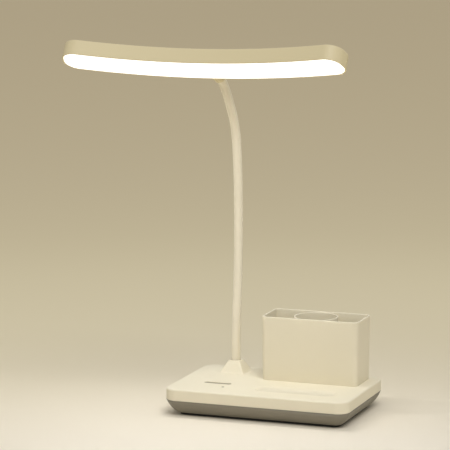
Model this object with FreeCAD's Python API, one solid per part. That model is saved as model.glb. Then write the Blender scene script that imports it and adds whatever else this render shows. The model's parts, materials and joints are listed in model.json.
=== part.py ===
import FreeCAD, Part
import math
import os

# Desk lamp: a curved light bar on a bendable neck, over a base that carries a pen holder.
# Millimetres. X runs along the base, Y away from the user and Z up.
# The origin is the middle of the base, on the desk.

# Shared clearances and small sizes
cut_overrun = 1.0
fit_gap = 0.15
joint_gap = 0.3
thread_gap = 0.05

# Base, outside
base_length = 201.0
base_depth = 134.0
base_corner = 14.0
mat_thickness = 2.5
shell_height = 14.5
cover_height = 12.2
shell_inset = 12.0
shell_side_inset = 10.5
shell_low_corner = 7.0
# Lower shell's curve from the joint down: share of its height, and share of its inset
shell_curve_shares = [(0, 0), (0.3, 0.17), (0.6, 0.42), (0.82, 0.68), (0.94, 0.87), (1, 1)]
cover_edge_radius = 1.8
cover_lip_bevel = 0.5

# Base, walls
cover_wall = 2.0
deck_thickness = 2.2
shell_wall = 2.4
shell_floor = 2.0
shell_floor_share = 0.74
tongue_height = 2.5
tongue_thickness = 1.2

# Non-slip mat and ballast
mat_margin = 2.0
mat_corner = 8.0
ballast_from_left = 24.0
ballast_from_front = 22.0
ballast_cell_gap = 3.5
ballast_thickness = 5.0
ballast_corner = 4.0
ballast_peg_radius = 2.0
ballast_peg_rise = 1.0
ballast_peg_inset = 7.0

# Screws that close the base
base_screw_from_side = 20.0
base_screw_from_front = 19.0
base_boss_radius = 4.0
base_boss_meet = 11.0
base_web = 2.0
base_screw_head_radius = 2.6
base_screw_head_height = 1.8
base_screw_radius = 1.25
base_screw_length = 12.0

# Collar that the neck stands in
neck_from_left = 42.9
neck_from_back = 27.9
collar_foot = 27.6
collar_top = 12.6
collar_height = 13.3
collar_flare = 0.8
collar_flare_height = 1.2
collar_corner = 1.2
collar_seat_height = 1.8
neck_socket_depth = 8.0

# Neck: sleeve over a wound core over a lead
neck_radius = 4.9
core_radius = 3.9
core_bore_radius = 2.0
neck_lead_radius = 1.7
neck_length = 326.5
neck_first_link = 25.0
neck_last_link = 35.0
neck_joints = 7
# Arcs of the neck from the collar up: share of the length, and lean towards the user in degrees
neck_arc_shares = [
    (0.187, -6.4),
    (0.187, 4.5),
    (0.220, 5.5),
    (0.125, 6.1),
    (0.109, 24.6),
    (0.109, 6.9),
    (0.063, 17.1),
]

# Lower neck fitting
ferrule_shank_radius = 3.5
ferrule_reach = 11.0
neck_plate_side = 30.0
neck_plate_thickness = 1.5
neck_plate_corner = 3.0
neck_screw_offset = 10.5
neck_screw_radius = 1.0
neck_screw_length = 5.0
neck_screw_head_radius = 2.0
neck_screw_head_height = 1.2
washer_radius = 7.0
washer_thickness = 1.0
nut_across_flats = 11.0
nut_thickness = 4.0

# Tray and pen holder seat in the deck
tray_width = 22.0
tray_from_right = 22.0
tray_from_front = 36.0
tray_window_gap = 29.95
tray_depth = 2.8
tray_slope = 3.4
tray_floor = 1.6
tray_lip_radius = 3.0
tray_floor_radius = 3.0
holder_from_right = 12.5
holder_from_back = 7.5
holder_collar_gap = 24.8
holder_depth = 50.0
holder_height = 68.4
holder_draft = 0.9
holder_corner = 6.2
holder_wall = 1.8
holder_floor = 2.0
holder_tube_drop = 0.8
holder_tube_wall = 1.6
holder_tube_bite = 0.3
holder_rim_radius = 0.5
holder_seat_depth = 1.0

# Touch area: light window, status lens and touch pads
window_length = 30.5
window_width = 6.2
window_from_left = 44.8
window_from_front = 45.5
window_drop = 0.4
window_flange = 2.0
window_flange_thickness = 1.0
status_from_left = 56.0
status_from_front = 30.0
status_radius = 1.6
status_flange_radius = 3.0
touch_pad_radius = 3.6
touch_pad_spread = 32.0
touch_pad_from_left = 47.5
touch_pad_from_front = 31.0

# Control board under the touch area
board_length = 48.0
board_depth = 34.0
board_thickness = 1.6
board_from_left = 48.0
board_from_front = 38.0
board_drop = 8.8
board_post_radius = 2.4
board_post_inset = 3.2
board_corner = 1.5
board_screw_radius = 0.9
board_screw_head_radius = 1.9
board_screw_head_height = 1.2
board_screw_length = 6.0
chip_length = 9.0
chip_width = 7.0
chip_height = 1.6
signal_led_side = 2.0
signal_led_height = 0.8
signal_leds = 3

# Charging socket at the back
charge_from_right = 91.0
charge_board_length = 24.0
charge_board_depth = 16.0
charge_board_thickness = 1.2
charge_board_drop = 5.4
charge_post_inset = 3.0
socket_width = 8.9
socket_height = 3.2
socket_depth = 7.3
socket_wall = 0.35
socket_tongue = 0.7
socket_inset = 0.6

# Battery cell and its cradle
cell_radius = 9.2
cell_length = 65.0
cell_from_right = 49.0
cell_from_front = 70.0
cell_cap_radius = 3.0
cell_cap_height = 0.8
cradle_thickness = 2.4
cradle_spread = 40.0
cradle_side = 3.0
cradle_gap = 0.3

# Leads inside the base
lead_radius = 1.1
lead_bend = 5.0
plug_length = 6.0
plug_width = 7.0
plug_height = 5.0

# Head
head_length = 308.6
head_width = 36.6
head_thickness = 16.7
head_bow_radius = 640.0
head_corner = 15.8
head_edge_radius = 1.2
head_wall = 1.4
head_top_wall = 1.6
head_tilt = 31.7
head_roll = 0.72
head_offset = 4.2
socket_length = 14.0
socket_mouth_radius = 6.0
socket_root_radius = 7.4
head_washer_radius = 5.6
head_nut_across_flats = 9.6
head_nut_thickness = 3.4
head_shank_radius = 3.0
head_shank_reach = 10.2
spot_face = 0.3

# Light engine
strip_width = 21.0
strip_margin = 9.0
strip_thickness = 1.0
led_board_width = 19.0
led_board_margin = 11.0
led_board_thickness = 1.2
engine_corner = 3.0
post_height = 3.0
post_radius = 2.6
strip_screw_radius = 0.9
strip_screw_head_radius = 1.9
strip_screw_head_height = 1.1
strip_screw_bite = 2.4
strip_screw_row = 6.2
strip_screw_shares = [-0.88, -0.3, 0.3, 0.88]
led_length = 3.5
led_width = 2.8
led_height = 0.8
led_count = 32
diffuser_thickness = 2.0
diffuser_rim_height = 3.0
diffuser_rim = 1.0
head_plug_length = 5.0
head_plug_width = 7.0
head_plug_height = 3.2

# Places that follow from the base's edges
left_edge = -base_length / 2
right_edge = base_length / 2
front_edge = -base_depth / 2
back_edge = base_depth / 2
base_screw_x = right_edge - base_screw_from_side
base_screw_y = back_edge - base_screw_from_front
neck_x = left_edge + neck_from_left
neck_y = back_edge - neck_from_back
window_x = left_edge + window_from_left
window_y = front_edge + window_from_front
status_x = left_edge + status_from_left
status_y = front_edge + status_from_front
touch_pad_x = left_edge + touch_pad_from_left
touch_pad_y = front_edge + touch_pad_from_front
board_x = left_edge + board_from_left
board_y = front_edge + board_from_front
charge_x = right_edge - charge_from_right
cell_x = right_edge - cell_from_right
cell_y = front_edge + cell_from_front
tray_left = window_x + window_length / 2 + tray_window_gap
tray_right = right_edge - tray_from_right
tray_length = tray_right - tray_left
tray_x = (tray_left + tray_right) / 2
tray_y = front_edge + tray_from_front
holder_left = neck_x + collar_foot / 2 + holder_collar_gap
holder_right = right_edge - holder_from_right
holder_length = holder_right - holder_left
holder_x = (holder_left + holder_right) / 2
holder_y = back_edge - holder_from_back - holder_depth / 2
ballast_left = left_edge + ballast_from_left
ballast_right = cell_x - cell_length / 2 - ballast_cell_gap
ballast_length = ballast_right - ballast_left
ballast_depth = base_depth - 2 * ballast_from_front
ballast_x = (ballast_left + ballast_right) / 2

# Heights that follow from the sizes above
shell_under = mat_thickness
floor_top = shell_under + shell_floor
split_z = shell_under + shell_height
deck_z = split_z + cover_height
deck_under = deck_z - deck_thickness
collar_top_z = deck_z + collar_height
collar_seat_z = deck_z + collar_seat_height
neck_seat_z = collar_top_z - neck_socket_depth
board_top = deck_under - board_drop
charge_board_top = deck_under - charge_board_drop
holder_under = deck_z - holder_seat_depth
cell_z = floor_top + cradle_gap + cell_radius
washer_top = deck_under - neck_plate_thickness


def vec(x, y, z):
    return FreeCAD.Vector(x, y, z)


def rounded_wire(length, depth, corner, z, x=0, y=0):
    """Rectangle with round corners, flat at height z and centred on x, y."""
    hx = length / 2
    hy = depth / 2
    pull = corner * (1 - math.sqrt(0.5))
    edges = []
    for sx, sy in [(1, -1), (1, 1), (-1, 1), (-1, -1)]:
        on_x = vec(x + sx * hx, y + sy * (hy - corner), z)
        on_y = vec(x + sx * (hx - corner), y + sy * hy, z)
        middle = vec(x + sx * (hx - pull), y + sy * (hy - pull), z)
        ends = (on_y, on_x) if sx * sy < 0 else (on_x, on_y)
        edges.append(Part.Arc(ends[0], middle, ends[1]).toShape())
    corners = list(edges)
    for here, after in zip(corners, corners[1:] + corners[:1]):
        edges.append(Part.LineSegment(here.Vertexes[-1].Point, after.Vertexes[0].Point).toShape())
    return Part.Wire(Part.__sortEdges__(edges))


def stadium_wire(length, width, z, x, y):
    """Slot with round ends, along X."""
    r = width / 2
    run = length / 2 - r
    right = Part.Arc(vec(x + run, y - r, z), vec(x + run + r, y, z), vec(x + run, y + r, z))
    left = Part.Arc(vec(x - run, y + r, z), vec(x - run - r, y, z), vec(x - run, y - r, z))
    top = Part.LineSegment(vec(x + run, y + r, z), vec(x - run, y + r, z))
    low = Part.LineSegment(vec(x - run, y - r, z), vec(x + run, y - r, z))
    return Part.Wire([right.toShape(), top.toShape(), left.toShape(), low.toShape()])


def raise_wire(wire, height):
    return Part.Face(wire).extrude(vec(0, 0, height))


def loft(wires):
    return Part.makeLoft(wires, True, True)


def pillar(radius, z0, z1, x, y):
    return Part.makeCylinder(radius, z1 - z0, vec(x, y, z0))


def block(length, depth, height, x, y, z):
    """Box centred on x, y that stands on z."""
    return Part.makeBox(length, depth, height, vec(x - length / 2, y - depth / 2, z))


def join(shapes):
    return shapes[0].multiFuse(shapes[1:]).removeSplitter()


def hexagon(across_flats, thickness, z, x, y):
    outer = across_flats / math.sqrt(3)
    turns = [math.radians(60 * k) for k in range(7)]
    points = [vec(x + outer * math.cos(a), y + outer * math.sin(a), z) for a in turns]
    return raise_wire(Part.makePolygon(points), thickness)


def bent_lead(points, bend, radius):
    """Round lead along straight runs joined by tangent arcs at every inner point."""
    edges = []
    start = points[0]
    for before, corner, after in zip(points, points[1:], points[2:]):
        back = (before - corner).normalize()
        ahead = (after - corner).normalize()
        half = back.getAngle(ahead) / 2
        enter = corner + back * (bend / math.tan(half))
        leave = corner + ahead * (bend / math.tan(half))
        inward = (back + ahead).normalize()
        middle = corner + inward * (bend / math.sin(half) - bend)
        edges.append(Part.LineSegment(start, enter).toShape())
        edges.append(Part.Arc(enter, middle, leave).toShape())
        start = leave
    edges.append(Part.LineSegment(start, points[-1]).toShape())
    first = (points[1] - points[0]).normalize()
    ring = Part.Wire([Part.Circle(points[0], first, radius).toShape()])
    return Part.Wire(edges).makePipeShell([ring], True, False)


def corner_places(half_x, half_y, x=0, y=0):
    return [(x + sx * half_x, y + sy * half_y) for sx in (-1, 1) for sy in (-1, 1)]


# Neck line: arcs in the plane x = neck_x, leaning towards the user as they climb


def neck_arcs():
    """Each arc as its first station, length, turn, first place and first lean."""
    arcs = []
    station, y, z, lean = 0.0, neck_y, collar_top_z, 0.0
    total = sum(share for share, turn in neck_arc_shares)
    for share, turn in neck_arc_shares:
        length = neck_length * share / total
        bend = math.radians(turn)
        arcs.append((station, length, bend, y, z, lean))
        radius = length / bend
        y += radius * (math.cos(lean + bend) - math.cos(lean))
        z += radius * (math.sin(lean + bend) - math.sin(lean))
        lean += bend
        station += length
    arcs.append((station, 0.0, 0.0, y, z, lean))
    return arcs


def neck_at(station):
    """Place and direction on the neck line. It runs on straight below the collar and past its end."""
    arcs = neck_arcs()
    first, length, bend, y, z, lean = [a for a in arcs if a[0] <= max(station, 0)][-1]
    along = station - first
    if length == 0 or station < 0:
        here = vec(neck_x, y - along * math.sin(lean), z + along * math.cos(lean))
        return here, vec(0, -math.sin(lean), math.cos(lean))
    radius = length / bend
    now = lean + bend * along / length
    y += radius * (math.cos(now) - math.cos(lean))
    z += radius * (math.sin(now) - math.sin(lean))
    return vec(neck_x, y, z), vec(0, -math.sin(now), math.cos(now))


def neck_tube(radius, start, end):
    """Solid rod along the neck line between two stations."""
    ends = [a[0] for a in neck_arcs() if start + thread_gap < a[0] < end - thread_gap]
    stops = [start] + ends + [end]
    edges = []
    for a, b in zip(stops, stops[1:]):
        p, m, q = (neck_at(s)[0] for s in (a, (a + b) / 2, b))
        straight = b <= 0 or a >= neck_length
        edges.append((Part.LineSegment(p, q) if straight else Part.Arc(p, m, q)).toShape())
    place, direction = neck_at(start)
    ring = Part.Wire([Part.Circle(place, direction, radius).toShape()])
    return Part.Wire(edges).makePipeShell([ring], True, False)


def joint_stations():
    pitch = (neck_length - neck_first_link - neck_last_link) / (neck_joints - 1)
    return [neck_first_link + pitch * k for k in range(neck_joints)]


def link_ends(index):
    stops = [-neck_socket_depth] + joint_stations() + [neck_length + neck_socket_depth]
    return stops[index], stops[index + 1]


def link_body(index):
    """One length of neck, with a ball at its upper joint and a hollow round the ball below."""
    start, end = link_ends(index)
    body = neck_tube(neck_radius, start, end)
    if index < neck_joints:
        place, direction = neck_at(end)
        body = body.fuse(Part.makeSphere(neck_radius, place, direction, 0, 90, 360))
    if index > 0:
        body = body.cut(Part.makeSphere(neck_radius + joint_gap, neck_at(start)[0]))
    return body


def link_rod(index, radius):
    """Rod inside one link, long enough to pass through its ball."""
    start, end = link_ends(index)
    reach = neck_radius + cut_overrun if index < neck_joints else 0
    return neck_tube(radius, start, end + reach)


def neck_sleeve(index):
    return link_body(index).cut(link_rod(index, core_radius))


def neck_core(index):
    core = link_body(index).common(link_rod(index, core_radius))
    return core.cut(link_rod(index, core_bore_radius))


def neck_lead(index):
    lead = link_body(index).common(link_rod(index, neck_lead_radius))
    if index == 0:
        tail = pillar(neck_lead_radius, collar_seat_z - ferrule_reach, neck_seat_z, neck_x, neck_y)
        lead = lead.fuse(tail).removeSplitter()
    if index == neck_joints:
        end = neck_length + neck_socket_depth
        lead = lead.fuse(neck_tube(neck_lead_radius, end, neck_length + head_lead_depth()))
        lead = lead.removeSplitter()
    return lead


# Base


def shell_section(offset, corner, z):
    return rounded_wire(base_length - 2 * offset, base_depth - 2 * offset, corner, z)


def low_section(share, wall, z):
    """Outline of the lower shell at a share of its inset, or a wall's thickness inside it."""
    length = base_length - 2 * (shell_side_inset * share + wall)
    depth = base_depth - 2 * (shell_inset * share + wall)
    corner = base_corner - (base_corner - shell_low_corner) * share - wall
    return rounded_wire(length, depth, corner, z)


def bottom_shell():
    """Grey lower shell, curved in towards its underside, with posts, pegs and the cell's cradle."""
    outer = loft([low_section(share, 0, split_z - shell_height * drop) for drop, share in shell_curve_shares])
    rim = cover_wall + fit_gap + tongue_thickness
    inner = loft([
        low_section(shell_floor_share, shell_wall, floor_top),
        shell_section(rim, base_corner - rim, split_z),
    ])
    slot = cover_wall + fit_gap
    tongue = raise_wire(shell_section(slot, base_corner - slot, split_z), tongue_height)
    hole = raise_wire(shell_section(rim, base_corner - rim, split_z), tongue_height)
    shell = outer.cut(inner).fuse(tongue.cut(hole))
    bits = [shell]
    post_top = shell_under + base_boss_meet
    for x, y in corner_places(base_screw_x, base_screw_y):
        bits.append(pillar(base_boss_radius, shell_under, post_top, x, y))
    half_x = ballast_length / 2 - ballast_peg_inset
    half_y = ballast_depth / 2 - ballast_peg_inset
    peg_top = floor_top + ballast_thickness + ballast_peg_rise
    for x, y in corner_places(half_x, half_y, ballast_x, 0):
        bits.append(pillar(ballast_peg_radius, floor_top, peg_top, x, y))
    bits += cradle_ribs()
    shell = join(bits)
    for x, y in corner_places(base_screw_x, base_screw_y):
        recess = pillar(base_screw_head_radius + fit_gap, 0, post_top - base_web, x, y)
        bore = pillar(base_screw_radius + fit_gap, 0, post_top + cut_overrun, x, y)
        shell = shell.cut(recess).cut(bore)
    return shell


def cradle_ribs():
    ribs = []
    width = 2 * (cell_radius + cradle_side)
    for side in (-1, 1):
        x = cell_x + side * cradle_spread / 2
        rib = block(cradle_thickness, width, cell_z - floor_top, x, cell_y, floor_top)
        start = vec(x - cradle_thickness, cell_y, cell_z)
        hollow = Part.makeCylinder(cell_radius + cradle_gap, 2 * cradle_thickness, start, vec(1, 0, 0))
        ribs.append(rib.cut(hollow))
    return ribs


def top_cover():
    """Cream upper cover with the collar, the tray, the holder's seat and the touch openings."""
    outer = raise_wire(shell_section(0, base_corner, split_z), cover_height)
    top_edges = [e for e in outer.Edges if min(v.Z for v in e.Vertexes) > deck_z - thread_gap]
    outer = outer.makeFillet(cover_edge_radius, top_edges)
    low_edges = [e for e in outer.Edges if max(v.Z for v in e.Vertexes) < split_z + thread_gap]
    outer = outer.makeChamfer(cover_lip_bevel, low_edges)
    inner = raise_wire(
        shell_section(cover_wall, base_corner - cover_wall, split_z - cut_overrun),
        deck_under - split_z + cut_overrun,
    )
    pan_under = deck_z - tray_depth - tray_floor
    pan = raise_wire(stadium_wire(tray_length, tray_width, pan_under, tray_x, tray_y), deck_under - pan_under)
    bits = [outer.cut(inner), collar(), pan]
    for x, y in corner_places(base_screw_x, base_screw_y):
        bits.append(pillar(base_boss_radius, shell_under + base_boss_meet, deck_under, x, y))
    for x, y in board_posts():
        bits.append(pillar(board_post_radius, board_top, deck_under, x, y))
    for x, y in charge_posts():
        bits.append(pillar(board_post_radius, charge_board_top, deck_under, x, y))
    cover = join(bits).cut(Part.makeCompound(cover_cuts()))
    return cover.makeFillet(tray_lip_radius, [e for e in cover.Edges if on_tray_lip(e)])


def on_tray_lip(edge):
    """True where both ends of an edge lie on the deck, on the tray's outline."""
    return all(
        abs(v.Z - deck_z) < thread_gap
        and abs(v.X - tray_x) < tray_length / 2 + thread_gap
        and abs(v.Y - tray_y) < tray_width / 2 + thread_gap
        for v in edge.Vertexes
    )


def tray_room():
    """What the tray takes out of the deck: sloping sides and a round turn into its flat floor."""
    taper = 2 * tray_slope
    grow = taper * cut_overrun / tray_depth
    low = stadium_wire(tray_length - taper, tray_width - taper, deck_z - tray_depth, tray_x, tray_y)
    high = stadium_wire(tray_length + grow, tray_width + grow, deck_z + cut_overrun, tray_x, tray_y)
    room = loft([low, high])
    floor_edges = [e for e in room.Edges if max(v.Z for v in e.Vertexes) < deck_z - tray_depth + thread_gap]
    return room.makeFillet(tray_floor_radius, floor_edges)


def collar():
    """Square pyramid with a small flare at its foot, closed underneath."""
    foot = collar_foot / 2
    slope = (collar_foot - collar_top) / 2 / collar_height
    above_flare = 2 * (foot - slope * collar_flare_height)
    wide = collar_foot + 2 * collar_flare
    return loft([
        rounded_wire(wide, wide, collar_corner + collar_flare, deck_z - deck_thickness / 2, neck_x, neck_y),
        rounded_wire(wide, wide, collar_corner + collar_flare, deck_z, neck_x, neck_y),
        rounded_wire(above_flare, above_flare, collar_corner, deck_z + collar_flare_height, neck_x, neck_y),
        rounded_wire(collar_top, collar_top, collar_corner, collar_top_z, neck_x, neck_y),
    ])


def cover_cuts():
    cuts = [tray_room()]
    deck_over = deck_z + cut_overrun
    low = deck_under - cut_overrun
    seat_length = holder_length - 2 * holder_draft + 2 * joint_gap
    seat_depth = holder_depth - 2 * holder_draft + 2 * joint_gap
    seat = rounded_wire(seat_length, seat_depth, holder_corner, holder_under, holder_x, holder_y)
    cuts.append(raise_wire(seat, 2 * holder_seat_depth))
    window = stadium_wire(window_length, window_width, low, window_x, window_y)
    cuts.append(raise_wire(window, deck_over - low))
    cuts.append(pillar(status_radius + fit_gap, low, deck_over, status_x, status_y))
    cuts.append(pillar(neck_radius + fit_gap, collar_seat_z, collar_top_z + cut_overrun, neck_x, neck_y))
    cuts.append(pillar(ferrule_shank_radius + fit_gap, low, collar_top_z, neck_x, neck_y))
    for x, y in corner_places(neck_screw_offset, neck_screw_offset, neck_x, neck_y):
        cuts.append(pilot_hole(neck_screw_radius, low, washer_top + neck_screw_length, x, y))
    for x, y in corner_places(base_screw_x, base_screw_y):
        screw_top = shell_under + base_boss_meet - base_web + base_screw_length
        cuts.append(pilot_hole(base_screw_radius, shell_under, screw_top, x, y))
    for x, y in board_posts():
        screw_top = board_top - board_thickness + board_screw_length
        cuts.append(pilot_hole(board_screw_radius, board_top - cut_overrun, screw_top, x, y))
    for x, y in charge_posts():
        screw_top = charge_board_top - charge_board_thickness + board_screw_length
        cuts.append(pilot_hole(board_screw_radius, charge_board_top - cut_overrun, screw_top, x, y))
    cuts.append(charge_opening())
    return cuts


def pilot_hole(screw_radius, low, screw_tip, x, y):
    return pillar(screw_radius + thread_gap, low, screw_tip + thread_gap, x, y)


def charge_opening():
    """Slot through the back wall for the charging plug, and the seat of the socket behind it."""
    width = socket_width + 2 * fit_gap
    height = socket_height + 2 * fit_gap
    slot = raise_wire(stadium_wire(width, height, 0, 0, 0), 2 * cover_wall)
    slot.rotate(vec(0, 0, 0), vec(1, 0, 0), 90)
    slot.translate(vec(charge_x, base_depth / 2 + cover_wall / 2, charge_board_top + socket_height / 2))
    return slot


def foot_mat():
    length = base_length - 2 * (shell_side_inset + mat_margin)
    depth = base_depth - 2 * (shell_inset + mat_margin)
    return raise_wire(rounded_wire(length, depth, mat_corner, 0), mat_thickness)


def ballast_plate():
    outline = rounded_wire(ballast_length, ballast_depth, ballast_corner, floor_top, ballast_x, 0)
    plate = raise_wire(outline, ballast_thickness)
    half_x = ballast_length / 2 - ballast_peg_inset
    half_y = ballast_depth / 2 - ballast_peg_inset
    for x, y in corner_places(half_x, half_y, ballast_x, 0):
        hole = pillar(ballast_peg_radius + fit_gap, 0, deck_z, x, y)
        plate = plate.cut(hole)
    return plate


def base_screws():
    web = shell_under + base_boss_meet - base_web
    screws = []
    for x, y in corner_places(base_screw_x, base_screw_y):
        head = pillar(base_screw_head_radius, web - base_screw_head_height, web, x, y)
        shank = pillar(base_screw_radius, web, web + base_screw_length, x, y)
        screws.append(head.fuse(shank).removeSplitter())
    return Part.makeCompound(screws)


def battery_cell():
    """Round cell along X, with its raised positive cap on the side of the control board."""
    end = vec(cell_x - cell_length / 2, cell_y, cell_z)
    can = Part.makeCylinder(cell_radius, cell_length, end, vec(1, 0, 0))
    cap = Part.makeCylinder(cell_cap_radius, cell_cap_height, end, vec(-1, 0, 0))
    return can.fuse(cap).removeSplitter()


def battery_lead():
    """Lead from the cell's cap to a plug under the control board."""
    plug_x = board_x + board_length / 2 - plug_length / 2
    start = vec(cell_x - cell_length / 2 - cell_cap_height, cell_y, cell_z)
    z = board_top - board_thickness - plug_height / 2
    turn_x = (start.x + plug_x + plug_length / 2) / 2
    end_x = plug_x + plug_length / 2
    route = [start, vec(turn_x, cell_y, cell_z), vec(turn_x, board_y, z), vec(end_x, board_y, z)]
    plug = block(plug_length, plug_width, plug_height, plug_x, board_y, z - plug_height / 2)
    return Part.makeCompound([bent_lead(route, lead_bend, lead_radius), plug])


def board_posts():
    half_x = board_length / 2 - board_post_inset
    half_y = board_depth / 2 - board_post_inset
    return corner_places(half_x, half_y, board_x, board_y)


def charge_board_y():
    return base_depth / 2 - cover_wall - fit_gap - charge_board_depth / 2


def charge_posts():
    half_x = charge_board_length / 2 - charge_post_inset
    y = charge_board_y() - charge_board_depth / 2 + charge_post_inset
    return [(charge_x - half_x, y), (charge_x + half_x, y)]


def control_board():
    under = board_top - board_thickness
    outline = rounded_wire(board_length, board_depth, board_corner, under, board_x, board_y)
    board = raise_wire(outline, board_thickness)
    for x, y in board_posts():
        board = board.cut(pillar(board_screw_radius + fit_gap, 0, deck_z, x, y))
    return board


def board_chips():
    """Charging and dimming chips under the control board."""
    under = board_top - board_thickness - chip_height
    spread = board_length / 4
    return Part.makeCompound([
        block(chip_length, chip_width, chip_height, board_x - spread, board_y, under),
        block(chip_width, chip_length, chip_height, board_x, board_y, under),
    ])


def signal_lights():
    """Three small lights under the window and one under the status lens."""
    lights = []
    pitch = window_length / signal_leds
    for k in range(signal_leds):
        x = window_x + pitch * (k - (signal_leds - 1) / 2)
        lights.append(block(signal_led_side, signal_led_side, signal_led_height, x, window_y, board_top))
    lights.append(block(signal_led_side, signal_led_side, signal_led_height, status_x, status_y, board_top))
    return Part.makeCompound(lights)


def touch_pads():
    pads = []
    for side in (-1, 1):
        x = touch_pad_x + side * touch_pad_spread / 2
        pads.append(pillar(touch_pad_radius, board_top, deck_under, x, touch_pad_y))
    return Part.makeCompound(pads)


def light_window():
    """Smoked window that fills the slot in the deck from below."""
    off = 2 * fit_gap
    wide = 2 * window_flange
    low = deck_under - window_flange_thickness
    plug = stadium_wire(window_length - off, window_width - off, deck_under, window_x, window_y)
    flange = stadium_wire(window_length + wide, window_width + wide, low, window_x, window_y)
    plug = raise_wire(plug, deck_thickness - window_drop)
    return plug.fuse(raise_wire(flange, window_flange_thickness)).removeSplitter()


def status_lens():
    stem = pillar(status_radius, board_top + signal_led_height, deck_z - window_drop, status_x, status_y)
    flange = pillar(
        status_flange_radius, deck_under - window_flange_thickness, deck_under, status_x, status_y
    )
    return stem.fuse(flange).removeSplitter()


def charge_board():
    under = charge_board_top - charge_board_thickness
    y = charge_board_y()
    outline = rounded_wire(charge_board_length, charge_board_depth, board_corner, under, charge_x, y)
    board = raise_wire(outline, charge_board_thickness)
    for x, y in charge_posts():
        board = board.cut(pillar(board_screw_radius + fit_gap, 0, deck_z, x, y))
    return board


def usb_socket():
    """Metal shell with a tongue inside, open to the back."""
    back = base_depth / 2 - socket_inset
    body = raise_wire(stadium_wire(socket_width, socket_height, 0, 0, 0), socket_depth)
    room = raise_wire(
        stadium_wire(socket_width - 2 * socket_wall, socket_height - 2 * socket_wall, 0, 0, 0),
        socket_depth - socket_wall,
    )
    shell = body.cut(room)
    mouth = socket_height - 2 * socket_wall
    tongue = block(socket_width - 2 * mouth, socket_tongue, socket_depth - mouth, 0, 0, mouth)
    socket = shell.fuse(tongue).removeSplitter()
    socket.rotate(vec(0, 0, 0), vec(1, 0, 0), 90)
    socket.translate(vec(charge_x, back, charge_board_top + socket_height / 2))
    return socket


def charge_lead():
    """Lead from a plug under the charging board to a plug under the control board."""
    near_z = charge_board_top - charge_board_thickness - plug_height
    far_z = board_top - board_thickness - plug_height
    near_y = charge_board_y() - plug_width / 2
    far_x = board_x + board_length / 4
    far_y = board_y + board_depth / 2 - plug_width / 2
    level = far_z + plug_height / 2
    near = block(plug_length, plug_width, plug_height, charge_x, near_y, near_z)
    far = block(plug_length, plug_width, plug_height, far_x, far_y, far_z)
    start = vec(charge_x, near_y - plug_width / 2, near_z + plug_height / 2)
    end = vec(far_x, far_y + plug_width / 2, level)
    turn_y = (start.y + end.y) / 2
    route = [start, vec(charge_x, turn_y, level), vec(far_x, turn_y, level), end]
    return Part.makeCompound([near, far, bent_lead(route, lead_bend, lead_radius)])


def lamp_lead():
    """Lead from the foot of the neck to a plug under the control board."""
    top = vec(neck_x, neck_y, collar_seat_z - ferrule_reach)
    far_z = board_top - board_thickness - plug_height
    level = far_z + plug_height / 2
    plug_x = board_x - board_length / 4
    plug_y = board_y + board_depth / 2 - plug_width / 2
    plug = block(plug_length, plug_width, plug_height, plug_x, plug_y, far_z)
    end = vec(plug_x, plug_y + plug_width / 2, level)
    route = [top, vec(neck_x, neck_y, level), vec(plug_x, (neck_y + end.y) / 2, level), end]
    return Part.makeCompound([plug, bent_lead(route, lead_bend / 2, lead_radius)])


def board_screws():
    screws = []
    places = [(x, y, board_top - board_thickness) for x, y in board_posts()]
    places += [(x, y, charge_board_top - charge_board_thickness) for x, y in charge_posts()]
    for x, y, z in places:
        head = pillar(board_screw_head_radius, z - board_screw_head_height, z, x, y)
        shank = pillar(board_screw_radius, z, z + board_screw_length, x, y)
        screws.append(head.fuse(shank).removeSplitter())
    return Part.makeCompound(screws)


def neck_plate():
    """Steel plate that spreads the nut's pull under the deck."""
    side = neck_plate_side
    outline = rounded_wire(side, side, neck_plate_corner, washer_top, neck_x, neck_y)
    plate = raise_wire(outline, neck_plate_thickness)
    plate = plate.cut(pillar(ferrule_shank_radius + fit_gap, 0, deck_z, neck_x, neck_y))
    for x, y in corner_places(neck_screw_offset, neck_screw_offset, neck_x, neck_y):
        plate = plate.cut(pillar(neck_screw_radius + fit_gap, 0, deck_z, x, y))
    return plate


def neck_plate_screws():
    screws = []
    for x, y in corner_places(neck_screw_offset, neck_screw_offset, neck_x, neck_y):
        head = pillar(neck_screw_head_radius, washer_top - neck_screw_head_height, washer_top, x, y)
        shank = pillar(neck_screw_radius, washer_top, washer_top + neck_screw_length, x, y)
        screws.append(head.fuse(shank).removeSplitter())
    return Part.makeCompound(screws)


def neck_ferrule():
    """Steel fitting on the foot of the core: a shoulder in the collar and a threaded shank below."""
    shoulder = pillar(neck_radius, collar_seat_z, neck_seat_z, neck_x, neck_y)
    shank = pillar(ferrule_shank_radius, collar_seat_z - ferrule_reach, collar_seat_z, neck_x, neck_y)
    bore = pillar(core_bore_radius, 0, collar_top_z, neck_x, neck_y)
    return shoulder.fuse(shank).removeSplitter().cut(bore)


def neck_washer():
    disc = pillar(washer_radius, washer_top - washer_thickness, washer_top, neck_x, neck_y)
    return disc.cut(pillar(ferrule_shank_radius + fit_gap, 0, deck_z, neck_x, neck_y))


def neck_nut():
    z = washer_top - washer_thickness - nut_thickness
    nut = hexagon(nut_across_flats, nut_thickness, z, neck_x, neck_y)
    return nut.cut(pillar(ferrule_shank_radius + thread_gap, 0, deck_z, neck_x, neck_y))


# Pen holder


def holder_section(offset, corner, z):
    return rounded_wire(
        holder_length - 2 * offset, holder_depth - 2 * offset, corner, z, holder_x, holder_y
    )


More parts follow.
